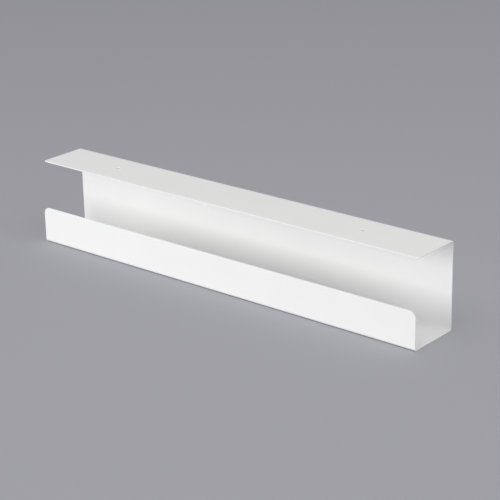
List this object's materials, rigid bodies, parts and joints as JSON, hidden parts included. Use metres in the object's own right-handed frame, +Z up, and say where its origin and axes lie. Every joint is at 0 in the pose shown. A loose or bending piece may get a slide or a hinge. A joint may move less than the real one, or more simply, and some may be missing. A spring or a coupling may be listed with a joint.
{
  "type": "under-desk cable tray",
  "caption": "Folded sheet-steel cable tray with a flat top flange to screw under a desk, a back wall, a floor and a low front lip, open at both ends and along the front.",
  "frame": {"origin": "on the flange's upper face, midway between the two screw holes: the face that lies against the underside of the desk", "axes": "+X along the tray, +Y towards the back wall, +Z up towards the desk; the lip is at -Y and the floor at -Z"},
  "size_m": [0.64, 0.08, 0.12],
  "materials": {
    "powder_coat": "white powder coat, fine matt texture"
  },
  "bodies": {
    "root": {"tray": "powder_coat"}
  },
  "joints": []
}
